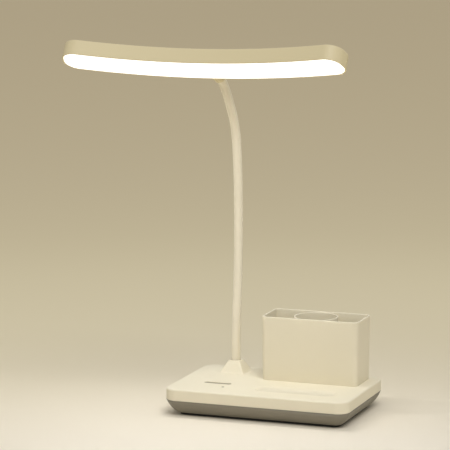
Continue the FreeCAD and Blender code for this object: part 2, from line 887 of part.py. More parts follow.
def pen_holder():
    """Drafted box with three compartments. The middle one is a round tube that meets both walls."""
    top = holder_under + holder_height + holder_seat_depth
    inside = holder_under + holder_floor
    outer = loft([
        holder_section(holder_draft, holder_corner - holder_draft, holder_under),
        holder_section(0, holder_corner, top),
    ])
    room_corner = holder_corner - holder_wall
    room = loft([
        holder_section(holder_wall + holder_draft, room_corner - holder_draft, inside),
        holder_section(holder_wall, room_corner, top),
    ])
    tube_radius = holder_depth / 2 - holder_wall + holder_tube_bite
    tube_top = top - holder_tube_drop
    ring = pillar(tube_radius, inside, tube_top, holder_x, holder_y)
    ring = ring.cut(pillar(tube_radius - holder_tube_wall, inside, tube_top, holder_x, holder_y))
    holder = outer.cut(room).fuse(ring.common(room)).removeSplitter()
    rim = [e for e in holder.Edges if min(v.Z for v in e.Vertexes) > top - thread_gap]
    return holder.makeFillet(holder_rim_radius, rim)


# Head, drawn flat: X along the bar, Y away from the user, Z from the lit face to the top


def bow(width, length, corner, low, high):
    """Bar bent in plan about a centre on the user's side, with round corners."""
    reach = length / 2 / head_bow_radius

    def spot(radius, angle):
        return vec(radius * math.sin(angle), radius * math.cos(angle) - head_bow_radius, low)

    near = head_bow_radius - width / 2
    far = head_bow_radius + width / 2
    outline = Part.Wire([
        Part.Arc(spot(near, -reach), spot(near, 0), spot(near, reach)).toShape(),
        Part.LineSegment(spot(near, reach), spot(far, reach)).toShape(),
        Part.Arc(spot(far, reach), spot(far, 0), spot(far, -reach)).toShape(),
        Part.LineSegment(spot(far, -reach), spot(near, -reach)).toShape(),
    ])
    bar = Part.Face(outline).extrude(vec(0, 0, high - low))
    upright = [e for e in bar.Edges if abs(e.Vertexes[0].Z - e.Vertexes[-1].Z) > (high - low) / 2]
    return bar.makeFillet(corner, upright)


def on_bar(share, across):
    """Place on the bar at a share of its half length, and across towards the user."""
    angle = share * head_length / 2 / head_bow_radius
    radius = head_bow_radius - across
    return radius * math.sin(angle), radius * math.cos(angle) - head_bow_radius, angle


def seat_head(shape):
    """Turn a flat-drawn head piece to its place on the end of the neck."""
    tilt = math.radians(head_tilt)
    roll = math.radians(head_roll)
    away = vec(0, math.cos(tilt), -math.sin(tilt))
    level_up = vec(0, math.sin(tilt), math.cos(tilt))
    along = vec(math.cos(roll), 0, 0) + level_up * math.sin(roll)
    up = level_up * math.cos(roll) - vec(math.sin(roll), 0, 0)
    mouth = along * head_offset + away * (head_width / 2 + socket_length) + up * (head_thickness / 2)
    turn = FreeCAD.Rotation(along, away, up, "XYZ")
    placed = shape.copy()
    placed.Placement = FreeCAD.Placement(neck_at(neck_length)[0] - mouth, turn).multiply(shape.Placement)
    return placed


def head_axis(radius, start, end):
    """Cylinder on the neck's axis in the drawn head, measured from the socket's mouth."""
    foot = vec(head_offset, head_width / 2 + socket_length - start, head_thickness / 2)
    return Part.makeCylinder(radius, end - start, foot, vec(0, -1, 0))


def head_shoulder_depth():
    return neck_socket_depth + spot_face + head_wall


def head_seat_depth():
    return socket_length + head_wall - spot_face


def head_lead_depth():
    return socket_length + head_width / 2 - led_board_width / 2


def strip_top():
    return head_thickness - head_top_wall - post_height


def led_board_top():
    return strip_top() - strip_thickness


def led_board_under():
    return led_board_top() - led_board_thickness


def screw_places():
    """Strip screws, in turn on the near and the far side of the row of LEDs."""
    return [on_bar(share, strip_screw_row * (-1) ** k) for k, share in enumerate(strip_screw_shares)]


def head_cover():
    """Cream housing of the bar, open below, with the neck's socket on its back and screw posts inside."""
    body = bow(head_width, head_length, head_corner, 0, head_thickness)
    top_edges = [e for e in body.Edges if min(v.Z for v in e.Vertexes) > head_thickness - thread_gap]
    body = body.makeFillet(head_edge_radius, top_edges)
    ceiling = head_thickness - head_top_wall
    walls = 2 * head_wall
    room = bow(head_width - walls, head_length - walls, head_corner - head_wall, -cut_overrun, ceiling)
    mouth = vec(head_offset, head_width / 2 + socket_length, head_thickness / 2)
    socket_root = socket_length + head_wall / 2
    socket = Part.makeCone(socket_mouth_radius, socket_root_radius, socket_root, mouth, vec(0, -1, 0))
    bits = [body.cut(room), socket]
    for x, y, angle in screw_places():
        bits.append(pillar(post_radius, strip_top(), ceiling, x, y))
    cover = join(bits)
    seat = head_seat_depth()
    cuts = [
        head_axis(neck_radius + fit_gap, -cut_overrun, head_shoulder_depth()),
        head_axis(head_shank_radius + fit_gap, 0, seat + cut_overrun),
        head_axis(head_washer_radius + fit_gap, seat, seat + spot_face + cut_overrun),
    ]
    for x, y, angle in screw_places():
        cuts.append(pilot_hole(strip_screw_radius, strip_top(), strip_top() + strip_screw_bite, x, y))
    return cover.cut(Part.makeCompound(cuts))


def head_ferrule():
    """Steel fitting on the upper end of the core: a shoulder in the socket and a threaded shank."""
    shoulder = head_axis(neck_radius, neck_socket_depth, head_shoulder_depth())
    shank = head_axis(head_shank_radius, head_shoulder_depth(), head_shoulder_depth() + head_shank_reach)
    bore = head_axis(core_bore_radius, 0, 2 * socket_length)
    return shoulder.fuse(shank).removeSplitter().cut(bore)


def head_washer():
    seat = head_seat_depth()
    disc = head_axis(head_washer_radius, seat, seat + washer_thickness)
    return disc.cut(head_axis(head_shank_radius + fit_gap, 0, 2 * socket_length))


def head_nut():
    nut = hexagon(head_nut_across_flats, head_nut_thickness, 0, 0, 0)
    nut.rotate(vec(0, 0, 0), vec(1, 0, 0), 90)
    start = head_seat_depth() + washer_thickness
    nut.translate(vec(head_offset, head_width / 2 + socket_length - start, head_thickness / 2))
    return nut.cut(head_axis(head_shank_radius + thread_gap, 0, 2 * socket_length))


def engine_plate(width, margin, thickness, top):
    """Thin bar under the screw posts, with a hole for each strip screw."""
    plate = bow(width, head_length - 2 * margin, engine_corner, top - thickness, top)
    holes = [
        pillar(strip_screw_radius + fit_gap, top - 2 * thickness, top + cut_overrun, x, y)
        for x, y, angle in screw_places()
    ]
    return plate.cut(Part.makeCompound(holes))


def heat_strip():
    return engine_plate(strip_width, strip_margin, strip_thickness, strip_top())


def led_board():
    return engine_plate(led_board_width, led_board_margin, led_board_thickness, led_board_top())


def leds():
    """Row of light chips along the middle of the board, evenly spread."""
    chips = []
    reach = 1 - 2 * (led_board_margin + led_length) / head_length
    for k in range(led_count):
        x, y, angle = on_bar(reach * (2 * k / (led_count - 1) - 1), 0)
        chip = block(led_length, led_width, led_height, 0, 0, led_board_under() - led_height)
        chip.rotate(vec(0, 0, 0), vec(0, 0, 1), -math.degrees(angle))
        chip.translate(vec(x, y, 0))
        chips.append(chip)
    return Part.makeCompound(chips)


def strip_screws():
    screws = []
    under = led_board_under()
    for x, y, angle in screw_places():
        head = pillar(strip_screw_head_radius, under - strip_screw_head_height, under, x, y)
        shank = pillar(strip_screw_radius, under, strip_top() + strip_screw_bite, x, y)
        screws.append(head.fuse(shank).removeSplitter())
    return Part.makeCompound(screws)


def diffuser():
    """Milky panel that fills the lit face, with a rim that stands up inside the housing."""
    off = 2 * (head_wall + fit_gap)
    corner = head_corner - head_wall - fit_gap
    high = diffuser_thickness + diffuser_rim_height
    panel = bow(head_width - off, head_length - off, corner, 0, high)
    off += 2 * diffuser_rim
    corner -= diffuser_rim
    room = bow(head_width - off, head_length - off, corner, diffuser_thickness, high + cut_overrun)
    nut_room = head_axis(head_washer_radius + joint_gap, socket_length, 2 * socket_length)
    return panel.cut(room).cut(nut_room)


def head_plug():
    """Plug under the LED board that the neck's lead runs into."""
    y = led_board_width / 2 - head_plug_length / 2
    under = led_board_under() - head_plug_height
    return block(head_plug_width, head_plug_length, head_plug_height, head_offset, y, under)


def all_pieces():
    pieces = {
        "top_cover": top_cover(),
        "bottom_shell": bottom_shell(),
        "foot_mat": foot_mat(),
        "ballast_plate": ballast_plate(),
        "base_screws": base_screws(),
        "battery_cell": battery_cell(),
        "battery_lead": battery_lead(),
        "control_board": control_board(),
        "board_chips": board_chips(),
        "signal_lights": signal_lights(),
        "touch_pads": touch_pads(),
        "light_window": light_window(),
        "status_lens": status_lens(),
        "charge_board": charge_board(),
        "usb_socket": usb_socket(),
        "charge_lead": charge_lead(),
        "lamp_lead": lamp_lead(),
        "board_screws": board_screws(),
        "neck_plate": neck_plate(),
        "neck_plate_screws": neck_plate_screws(),
        "neck_ferrule": neck_ferrule(),
        "neck_washer": neck_washer(),
        "neck_nut": neck_nut(),
        "pen_holder": pen_holder(),
    }
    for index in range(neck_joints + 1):
        pieces["neck_sleeve_%d" % (index + 1)] = neck_sleeve(index)
        pieces["neck_core_%d" % (index + 1)] = neck_core(index)
        pieces["neck_lead_%d" % (index + 1)] = neck_lead(index)
    head = {
        "head_cover": head_cover(),
        "head_ferrule": head_ferrule(),
        "head_washer": head_washer(),
        "head_nut": head_nut(),
        "heat_strip": heat_strip(),
        "led_board": led_board(),
        "leds": leds(),
        "strip_screws": strip_screws(),
        "diffuser": diffuser(),
        "head_plug": head_plug(),
    }
    for name, shape in head.items():
        pieces[name] = seat_head(shape)
    return pieces


os.makedirs("parts", exist_ok=True)
for node, piece in all_pieces().items():
    piece.exportStep("parts/%s.step" % node)
    print(node, len(piece.Solids), "solids", round(piece.Volume, 1), "mm3", "valid", piece.isValid())
for number, station in enumerate(joint_stations(), 1):
    place, direction = neck_at(station)
    print("neck joint %d" % number, [round(c, 4) for c in (*place, *direction)])
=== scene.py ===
import json
import math
import bmesh
import bpy
import numpy as np
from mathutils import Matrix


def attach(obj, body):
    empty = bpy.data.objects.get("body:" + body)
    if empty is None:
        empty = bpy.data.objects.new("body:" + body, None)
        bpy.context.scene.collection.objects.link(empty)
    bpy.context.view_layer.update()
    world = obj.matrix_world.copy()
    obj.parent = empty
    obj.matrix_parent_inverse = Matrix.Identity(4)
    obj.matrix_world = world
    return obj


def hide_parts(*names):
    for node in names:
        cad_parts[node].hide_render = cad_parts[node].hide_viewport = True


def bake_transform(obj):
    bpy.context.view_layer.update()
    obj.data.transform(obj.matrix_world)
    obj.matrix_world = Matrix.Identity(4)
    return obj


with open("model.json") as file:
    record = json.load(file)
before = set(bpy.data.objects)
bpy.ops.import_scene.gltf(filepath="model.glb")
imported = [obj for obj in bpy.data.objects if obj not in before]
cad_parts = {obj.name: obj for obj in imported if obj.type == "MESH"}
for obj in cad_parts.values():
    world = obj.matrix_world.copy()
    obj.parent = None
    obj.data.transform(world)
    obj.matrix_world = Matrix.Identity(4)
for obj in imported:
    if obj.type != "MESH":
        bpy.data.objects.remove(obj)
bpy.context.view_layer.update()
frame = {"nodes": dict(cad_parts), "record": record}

# Desk lamp: a curved light bar on a bendable neck, over a base with a pen holder. Metres.

nodes = frame["nodes"]
mm = 0.001


# Meshes

def meshPiece(name, points, faces, sharpAngle=40):
    # a mesh from an array of points and a list of faces, smooth except at edges over the angle
    mesh = bpy.data.meshes.new(name)
    mesh.from_pydata(points.tolist(), [], faces)
    mesh.validate()
    mesh.shade_smooth()
    mesh.set_sharp_from_angle(angle=math.radians(sharpAngle))
    piece = bpy.data.objects.new(name, mesh)
    bpy.context.scene.collection.objects.link(piece)
    return piece


def ringFaces(rows, columns, start=0):
    # quads between each ring and the next, the last column joined to the first
    row, column = np.meshgrid(np.arange(rows - 1), np.arange(columns), indexing="ij")
    here = start + row * columns + column
    beside = start + row * columns + (column + 1) % columns
    return np.stack([here, beside, beside + columns, here + columns], -1).reshape(-1, 4).tolist()


def ringPiece(name, grid, sharpAngle=40):
    # rings of points joined into a closed skin. The first and last ring are each closed to their own middle
    rows, columns = grid.shape[:2]
    points = np.vstack([grid.reshape(-1, 3), grid[0].mean(0), grid[-1].mean(0)])
    faces = ringFaces(rows, columns)
    low, high = rows * columns, rows * columns + 1
    last = (rows - 1) * columns
    turn = np.arange(columns)
    after = (turn + 1) % columns
    faces += np.stack([after, turn, np.full(columns, low)], -1).tolist()
    faces += np.stack([last + turn, last + after, np.full(columns, high)], -1).tolist()
    piece = meshPiece(name, points, faces, sharpAngle)
    faceOut(piece)
    return piece


def weldedRings(name, grid, sharpAngle=40):
    # rings whose ends already meet, joined at the points that they share
    rows, columns = grid.shape[:2]
    piece = meshPiece(name, grid.reshape(-1, 3), ringFaces(rows, columns), sharpAngle)
    faceOut(piece)
    return piece


def faceOut(piece):
    # joins points in one place and turns a closed skin's faces outwards
    work = bmesh.new()
    work.from_mesh(piece.data)
    bmesh.ops.remove_doubles(work, verts=work.verts, dist=0.001 * mm)
    bmesh.ops.recalc_face_normals(work, faces=work.faces)
    work.to_mesh(piece.data)
    work.free()


def mergedCopy(node, name, sharpAngle=30):
    # a CAD node's triangles joined at their corners, so that its round faces shade smoothly
    mesh = nodes[node].data.copy()
    mesh.name = name
    work = bmesh.new()
    work.from_mesh(mesh)
    bmesh.ops.remove_doubles(work, verts=work.verts, dist=0.002 * mm)
    work.to_mesh(mesh)
    work.free()
    mesh.shade_smooth()
    mesh.set_sharp_from_angle(angle=math.radians(sharpAngle))
    piece = bpy.data.objects.new(name, mesh)
    bpy.context.scene.collection.objects.link(piece)
    weigh = piece.modifiers.new("flatFacesFirst", "WEIGHTED_NORMAL")
    weigh.keep_sharp = True
    weigh.weight = 100
    return piece


def roundedOutline(length, depth, corner, cornerSteps=12, longSteps=1, shortSteps=1):
    # points round a rectangle with round corners: a quarter circle at each corner, then the straight side
    # after it in equal steps
    turns = np.radians(np.linspace(0, 90, cornerSteps + 1))
    points = []
    half = np.array([length / 2 - corner, depth / 2 - corner])
    steps = [shortSteps, longSteps, shortSteps, longSteps]
    signs = [(1, 1), (-1, 1), (-1, -1), (1, -1)]
    for k, (sx, sy) in enumerate(signs):
        angle = turns + k * math.pi / 2
        normal = np.stack([np.cos(angle), np.sin(angle)], -1)
        place = half * (sx, sy) + corner * normal
        points.append(place)
        nextSign = signs[(k + 1) % 4]
        after = half * nextSign + corner * normal[-1]
        share = np.linspace(0, 1, steps[(k + 1) % 4] + 1)[1:-1, None]
        points.append(place[-1] + (after - place[-1]) * share)
    return np.vstack(points)


def roundedBite(start, end, steps=6, bulge=1):
    # quarter circle in a profile between two points, turning the given way
    turn = np.linspace(0, math.pi / 2, steps + 1)
    a, b = np.array(start, float), np.array(end, float)
    if bulge > 0:
        return a + (b - a) * np.stack([1 - np.cos(turn), np.sin(turn)], -1)
    return a + (b - a) * np.stack([np.sin(turn), 1 - np.cos(turn)], -1)


def settle(piece, body, replaced=(), material=None):
    # rides on a body, takes the given finish and hides the nodes that it replaces
    piece.data.materials.clear()
    piece.data.materials.append(material)
    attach(piece, body)
    if replaced:
        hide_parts(*replaced)
    return piece


# Materials

def nodeGroup(name, inputs, outputs):
    # an empty shader group with the given sockets, and its two ends
    group = bpy.data.node_groups.new(name, "ShaderNodeTree")
    for label, kind, value in inputs:
        socket = group.interface.new_socket(name=label, in_out="INPUT", socket_type=kind)
        if value is not None:
            socket.default_value = value
    for label, kind in outputs:
        group.interface.new_socket(name=label, in_out="OUTPUT", socket_type=kind)
    return group, group.nodes.new("NodeGroupInput"), group.nodes.new("NodeGroupOutput")


def mathNode(tree, operation, a, b=None):
    # one sum on sockets or plain numbers
    node = tree.nodes.new("ShaderNodeMath")
    node.operation = operation
    for index, value in enumerate((a, b)):
        if value is None:
            continue
        if isinstance(value, (int, float)):
            node.inputs[index].default_value = value
        else:
            tree.links.new(value, node.inputs[index])
    return node.outputs[0]


def mouldedGroup():
    # moulded plastic: fine spark grain, slow colour drift and faint smudges of handling
    group, inside, out = nodeGroup(
        "mouldedPlastic",
        [("Color", "NodeSocketColor", (0.8, 0.8, 0.8, 1)), ("Grain Scale", "NodeSocketFloat", 1800.0),
         ("Drift", "NodeSocketFloat", 0.03), ("Roughness", "NodeSocketFloat", 0.45),
         ("Smudge", "NodeSocketFloat", 0.06)],
        [("Color", "NodeSocketColor"), ("Roughness", "NodeSocketFloat"), ("Height", "NodeSocketFloat")],
    )
    place = group.nodes.new("ShaderNodeTexCoord")
    grain = group.nodes.new("ShaderNodeTexNoise")
    grain.inputs["Detail"].default_value = 2
    group.links.new(place.outputs["Object"], grain.inputs["Vector"])
    group.links.new(inside.outputs["Grain Scale"], grain.inputs["Scale"])
    drift = group.nodes.new("ShaderNodeTexNoise")
    drift.inputs["Scale"].default_value = 22
    drift.inputs["Detail"].default_value = 3
    group.links.new(place.outputs["Object"], drift.inputs["Vector"])
    smudge = group.nodes.new("ShaderNodeTexNoise")
    smudge.inputs["Scale"].default_value = 45
    smudge.inputs["Detail"].default_value = 5
    group.links.new(place.outputs["Object"], smudge.inputs["Vector"])
    around = mathNode(group, "SUBTRACT", drift.outputs["Fac"], 0.5)
    level = mathNode(group, "MULTIPLY_ADD", around, inside.outputs["Drift"])
    group.nodes[-1].inputs[2].default_value = 1.0
    tint = group.nodes.new("ShaderNodeVectorMath")
    tint.operation = "SCALE"
    group.links.new(inside.outputs["Color"], tint.inputs[0])
    group.links.new(level, tint.inputs["Scale"])
    rub = mathNode(group, "SUBTRACT", smudge.outputs["Fac"], 0.5)
    rub = mathNode(group, "MULTIPLY", rub, inside.outputs["Smudge"])
    rough = mathNode(group, "ADD", rub, inside.outputs["Roughness"])
    group.links.new(tint.outputs[0], out.inputs["Color"])
    group.links.new(rough, out.inputs["Roughness"])
    group.links.new(grain.outputs["Fac"], out.inputs["Height"])
    return group


def brushedGroup():
    # brushed or turned metal: fine lines stretched along one axis
    group, inside, out = nodeGroup(
        "brushedMetal",
        [("Stretch", "NodeSocketVector", (40, 900, 900)), ("Roughness", "NodeSocketFloat", 0.35)],
        [("Roughness", "NodeSocketFloat"), ("Height", "NodeSocketFloat")],
    )
    place = group.nodes.new("ShaderNodeTexCoord")
    stretch = group.nodes.new("ShaderNodeVectorMath")
    stretch.operation = "MULTIPLY"
    group.links.new(place.outputs["Object"], stretch.inputs[0])
    group.links.new(inside.outputs["Stretch"], stretch.inputs[1])
    lines = group.nodes.new("ShaderNodeTexNoise")
    lines.inputs["Scale"].default_value = 1
    lines.inputs["Detail"].default_value = 3
    group.links.new(stretch.outputs[0], lines.inputs["Vector"])
    spread = mathNode(group, "SUBTRACT", lines.outputs["Fac"], 0.5)
    spread = mathNode(group, "MULTIPLY", spread, 0.2)
    rough = mathNode(group, "ADD", spread, inside.outputs["Roughness"])
    group.links.new(rough, out.inputs["Roughness"])
    group.links.new(lines.outputs["Fac"], out.inputs["Height"])
    return group


moulded = mouldedGroup()
brushed = brushedGroup()


def newMaterial(name):
    # a material with its Principled shader
    material = bpy.data.materials.new(name)
    material.use_nodes = True
    tree = material.node_tree
    shader = tree.nodes["Principled BSDF"]
    return material, tree, shader


def plastic(name, color, roughness=0.42, grain=1800.0, depth=0.00002, drift=0.03, smudge=0.06, specular=0.5,
            sheen=0.0):
    # moulded plastic or rubber: its colour drifts, and its grain is a bump of the given depth
    material, tree, shader = newMaterial(name)
    effect = tree.nodes.new("ShaderNodeGroup")
    effect.node_tree = moulded
    effect.inputs["Color"].default_value = (*color, 1)
    effect.inputs["Grain Scale"].default_value = grain
    effect.inputs["Drift"].default_value = drift
    effect.inputs["Roughness"].default_value = roughness
    effect.inputs["Smudge"].default_value = smudge
    bump = tree.nodes.new("ShaderNodeBump")
    bump.inputs["Strength"].default_value = 0.35
    bump.inputs["Distance"].default_value = depth
    tree.links.new(effect.outputs["Color"], shader.inputs["Base Color"])
    tree.links.new(effect.outputs["Roughness"], shader.inputs["Roughness"])
    tree.links.new(effect.outputs["Height"], bump.inputs["Height"])
    tree.links.new(bump.outputs["Normal"], shader.inputs["Normal"])
    shader.inputs["Specular IOR Level"].default_value = specular
    shader.inputs["Sheen Weight"].default_value = sheen
    return material


# where the painted shade in the pen tray lies: its middle and half size across, the heights of its rim and
# floor, and the colour's share left at the floor
trayShadeBox = {"middle": (0.034, -0.031), "half": (0.047, 0.0135), "rim": 0.0291, "floor": 0.0268, "shade": 0.9}


def paintTrayShade(material):
    # painted shade in the pen tray: the colour darkens evenly from the tray's rim to its floor, standing in
    # for the shade in the recess
    tree = material.node_tree
    shader = tree.nodes["Principled BSDF"]
    color = shader.inputs["Base Color"].links[0].from_socket
    place = tree.nodes.new("ShaderNodeTexCoord")
    split = tree.nodes.new("ShaderNodeSeparateXYZ")
    tree.links.new(place.outputs["Object"], split.inputs[0])
    depth = mathNode(tree, "SUBTRACT", trayShadeBox["rim"], split.outputs["Z"])
    depth = mathNode(tree, "DIVIDE", depth, trayShadeBox["rim"] - trayShadeBox["floor"])
    depth.node.use_clamp = True
    for axis, middle, half in zip("XY", trayShadeBox["middle"], trayShadeBox["half"]):
        away = mathNode(tree, "SUBTRACT", split.outputs[axis], middle)
        away = mathNode(tree, "ABSOLUTE", away, None)
        depth = mathNode(tree, "MULTIPLY", depth, mathNode(tree, "LESS_THAN", away, half))
    level = mathNode(tree, "MULTIPLY_ADD", depth, trayShadeBox["shade"] - 1)
    level.node.inputs[2].default_value = 1.0
    tint = tree.nodes.new("ShaderNodeVectorMath")
    tint.operation = "SCALE"
    tree.links.new(color, tint.inputs[0])
    tree.links.new(level, tint.inputs["Scale"])
    tree.links.new(tint.outputs[0], shader.inputs["Base Color"])


def metal(name, color, roughness, stretch):
    # plain metal with fine lines that run across the axis of most stretch
    material, tree, shader = newMaterial(name)
    effect = tree.nodes.new("ShaderNodeGroup")
    effect.node_tree = brushed
    effect.inputs["Stretch"].default_value = stretch
    effect.inputs["Roughness"].default_value = roughness
    bump = tree.nodes.new("ShaderNodeBump")
    bump.inputs["Strength"].default_value = 0.2
    bump.inputs["Distance"].default_value = 0.00002
    tree.links.new(effect.outputs["Roughness"], shader.inputs["Roughness"])
    tree.links.new(effect.outputs["Height"], bump.inputs["Height"])
    tree.links.new(bump.outputs["Normal"], shader.inputs["Normal"])
    shader.inputs["Base Color"].default_value = (*color, 1)
    shader.inputs["Metallic"].default_value = 1
    return material


def glowPanel(name, color, seen, glow):
    # milky panel lit from behind: one level as it is seen and on its own frame, and a higher one as it
    # lights the desk
    material, tree, shader = newMaterial(name)
    place = tree.nodes.new("ShaderNodeTexCoord")
    cloud = tree.nodes.new("ShaderNodeTexNoise")
    cloud.inputs["Scale"].default_value = 60
    tree.links.new(place.outputs["Object"], cloud.inputs["Vector"])
    blend = tree.nodes.new("ShaderNodeMix")
    blend.data_type = "RGBA"
    blend.inputs["A"].default_value = (*color, 1)
    blend.inputs["B"].default_value = (color[0], color[1] * 0.99, color[2] * 0.97, 1)
    tree.links.new(cloud.outputs["Fac"], blend.inputs["Factor"])
    tree.links.new(blend.outputs["Result"], shader.inputs["Emission Color"])
    rays = tree.nodes.new("ShaderNodeLightPath")
    close = mathNode(tree, "LESS_THAN", rays.outputs["Ray Length"], 0.04)
    own = mathNode(tree, "MAXIMUM", rays.outputs["Is Camera Ray"], close)
    level = mathNode(tree, "MULTIPLY_ADD", own, seen - glow)
    level.node.inputs[2].default_value = glow
    tree.links.new(level, shader.inputs["Emission Strength"])
    shader.inputs["Base Color"].default_value = (0.85, 0.84, 0.80, 1)
    shader.inputs["Roughness"].default_value = 0.35
    return material


finish = {
    "creamShell": plastic("creamShell", (0.82, 0.755, 0.59), roughness=0.6, specular=0.3),
    # painted shade: the head's cream is darker and yellower than the base's cream, standing in for the weaker
    # light on the head
    "creamHeadPaintedShade": plastic("creamHeadPaintedShade", (0.765, 0.67, 0.435), roughness=0.5, specular=0.4),
    "creamHolder": plastic("creamHolder", (0.82, 0.755, 0.59), roughness=0.55, specular=0.35),
    "neckSkin": plastic("neckSkin", (0.84, 0.775, 0.62), roughness=0.5, sheen=0.1, depth=0.00001),
    "greyShell": plastic("greyShell", (0.235, 0.215, 0.17), roughness=0.55, depth=0.00004, grain=1200.0),
    "footRubber": plastic("footRubber", (0.03, 0.03, 0.027), roughness=0.8, depth=0.0001, grain=600.0),
    "darkLead": plastic("darkLead", (0.03, 0.03, 0.03), roughness=0.5),
    "steel": metal("steel", (0.58, 0.58, 0.57), 0.35, (900, 40, 900)),
    "nickel": metal("nickel", (0.72, 0.70, 0.66), 0.22, (600, 600, 60)),
    "aluminium": metal("aluminium", (0.78, 0.78, 0.78), 0.3, (40, 900, 900)),
    "cellWrap": plastic("cellWrap", (0.06, 0.14, 0.36), roughness=0.25, drift=0.01),
    "circuitBoard": plastic("circuitBoard", (0.03, 0.16, 0.07), roughness=0.35, drift=0.1),
    "whiteBoard": plastic("whiteBoard", (0.8, 0.8, 0.78), roughness=0.35),
    "chip": plastic("chip", (0.02, 0.02, 0.02), roughness=0.5),
    "ledChip": plastic("ledChip", (0.85, 0.75, 0.35), roughness=0.3),
    "foam": plastic("foam", (0.12, 0.12, 0.12), roughness=0.95, depth=0.0004, grain=500.0),
    "smokedWindow": plastic("smokedWindow", (0.36, 0.30, 0.20), roughness=0.5, drift=0.02),
    "lens": plastic("lens", (0.012, 0.01, 0.007), roughness=0.5, specular=0.15, drift=0.02),
    "diffuserMilk": glowPanel("diffuserMilk", (0.985, 0.99, 1.0), 1.2, 15.0),
}
# painted shade in the pen tray, put into the cover's cream
paintTrayShade(finish["creamShell"])
print("materials", len(finish))


# Neck: arcs in one upright plane, as the share of its length and the lean that each adds

neck = {
    "x": -57.6, "y": 39.1, "footZ": 42.5, "length": 326.5, "radius": 4.9,
    "arcShares": [
        (0.187, -6.4), (0.187, 4.5), (0.220, 5.5), (0.125, 6.1), (0.109, 24.6), (0.109, 6.9), (0.063, 17.1),
    ],
    "firstLink": 25.0, "lastLink": 35.0, "joints": 7, "sides": 48, "step": 0.6,
}


def neckLine(stations):
    # places, leans and stations along the neck line: each arc turns its lean evenly along its length
    shares = np.array([share for share, turn in neck["arcShares"]])
    turns = np.radians([turn for share, turn in neck["arcShares"]])
    lengths = neck["length"] * shares / shares.sum()
    ends = np.concatenate([[0], np.cumsum(lengths)])
    leans = np.concatenate([[0], np.cumsum(turns)])
    fine = np.linspace(-20, neck["length"] + 20, 20001)
    lean = np.interp(fine, ends, leans)
    step = fine[1] - fine[0]
    mid = (lean[1:] + lean[:-1]) / 2
    y = np.concatenate([[0], np.cumsum(-np.sin(mid) * step)])
    z = np.concatenate([[0], np.cumsum(np.cos(mid) * step)])
    y += neck["y"] - np.interp(0, fine, y)
    z += neck["footZ"] - np.interp(0, fine, z)
    x = np.full(len(stations), neck["x"])
    places = np.stack([x, np.interp(stations, fine, y), np.interp(stations, fine, z)], -1)
    return places, np.interp(stations, fine, lean)


def neckTube(stations, radii, sides):
    # rings square to the neck line
    places, lean = neckLine(stations)
    turn = np.linspace(0, 2 * math.pi, sides, endpoint=False)
    across = np.array([1.0, 0, 0])
    square = np.stack([np.zeros_like(lean), np.cos(lean), np.sin(lean)], -1)
    ring = np.cos(turn)[None, :, None] * across + np.sin(turn)[None, :, None] * square[:, None, :]
    return places[:, None, :] + np.asarray(radii)[:, None, None] * ring


linkPitch = (neck["length"] - neck["firstLink"] - neck["lastLink"]) / (neck["joints"] - 1)
jointStations = neck["firstLink"] + linkPitch * np.arange(neck["joints"])
cuts = np.concatenate([[-2.0], (jointStations[1:] + jointStations[:-1]) / 2, [neck["length"] + 2.0]])
for k in range(neck["joints"]):
    start, end = cuts[k], cuts[k + 1]
    stations = np.linspace(start, end, int((end - start) / neck["step"]) + 2)
    grid = neckTube(stations, np.full(len(stations), neck["radius"]), neck["sides"]) * mm
    piece = ringPiece("neckSkin%d" % (k + 1), grid)
    piece.data.materials.append(finish["neckSkin"])
    reach = linkPitch / 2
    bendEnds, leans = neckLine(np.array([jointStations[k] - reach, jointStations[k] + reach]))
    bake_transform(piece)
    covered = ["neck_sleeve_%d" % (k + 1)]
    if k == neck["joints"] - 1:
        covered.append("neck_sleeve_%d" % (k + 2))
    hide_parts(*covered)


# Head: points on the bar are a distance along its bend, a distance across away from the user, and a height

head = {
    "length": 308.6, "width": 36.6, "thickness": 16.7, "bowRadius": 640.0, "corner": 15.8, "wall": 1.4,
    "tilt": 31.7, "roll": 0.72, "offset": 4.2, "socketLength": 14.0, "edgeRadius": 1.2, "lipRadius": 0.35,
    "recess": 2.0, "mouthRadius": 6.0, "rootRadius": 7.4, "mouthEdge": 0.35, "boreRadius": 4.95,
    "boreDepth": 2.5, "footRadius": 8.6, "footFrom": (12.4, 7.3), "footAt": 14.2, "footEnd": 15.5,
    "panelGap": 0.15, "panelEdge": 0.25,
}


def headAxes():
    # the bar's three directions, and the middle of its lit face, found from the neck's end in its socket
    tilt, roll = math.radians(head["tilt"]), math.radians(head["roll"])
    away = np.array([0, math.cos(tilt), -math.sin(tilt)])
    level = np.array([0, math.sin(tilt), math.cos(tilt)])
    along = np.array([math.cos(roll), 0, 0]) + level * math.sin(roll)
    up = level * math.cos(roll) - np.array([math.sin(roll), 0, 0])
    out = head["width"] / 2 + head["socketLength"]
    mouth = along * head["offset"] + away * out + up * head["thickness"] / 2
    return along, away, up, neckLine(np.array([neck["length"]]))[0][0] - mouth


def bend(along, across, height):
    # point on the bent bar: an arc about a centre on the user's side
    a, away, up, origin = headAxes()
    angle = along / head["bowRadius"]
    radius = head["bowRadius"] + across
    x = (radius * np.sin(angle))[..., None]
    y = (radius * np.cos(angle) - head["bowRadius"])[..., None]
    return origin + a * x + away * y + up * np.asarray(height)[..., None]


def barRings(profile, length, width, corner):
    # rings round the bar: each profile point is an inset from the outline and a height. An inset of half
    # the width lies on the bar's middle line, where the two long sides meet
    rings = []
    for inset, height in profile:
        left = min(max(corner - inset, 0.02), width / 2 - inset)
        points = roundedOutline(length - 2 * inset, width - 2 * inset, left, 16, 96, 2)
        rings.append(bend(points[:, 0], points[:, 1], np.full(len(points), height)))
    return np.array(rings) * mm


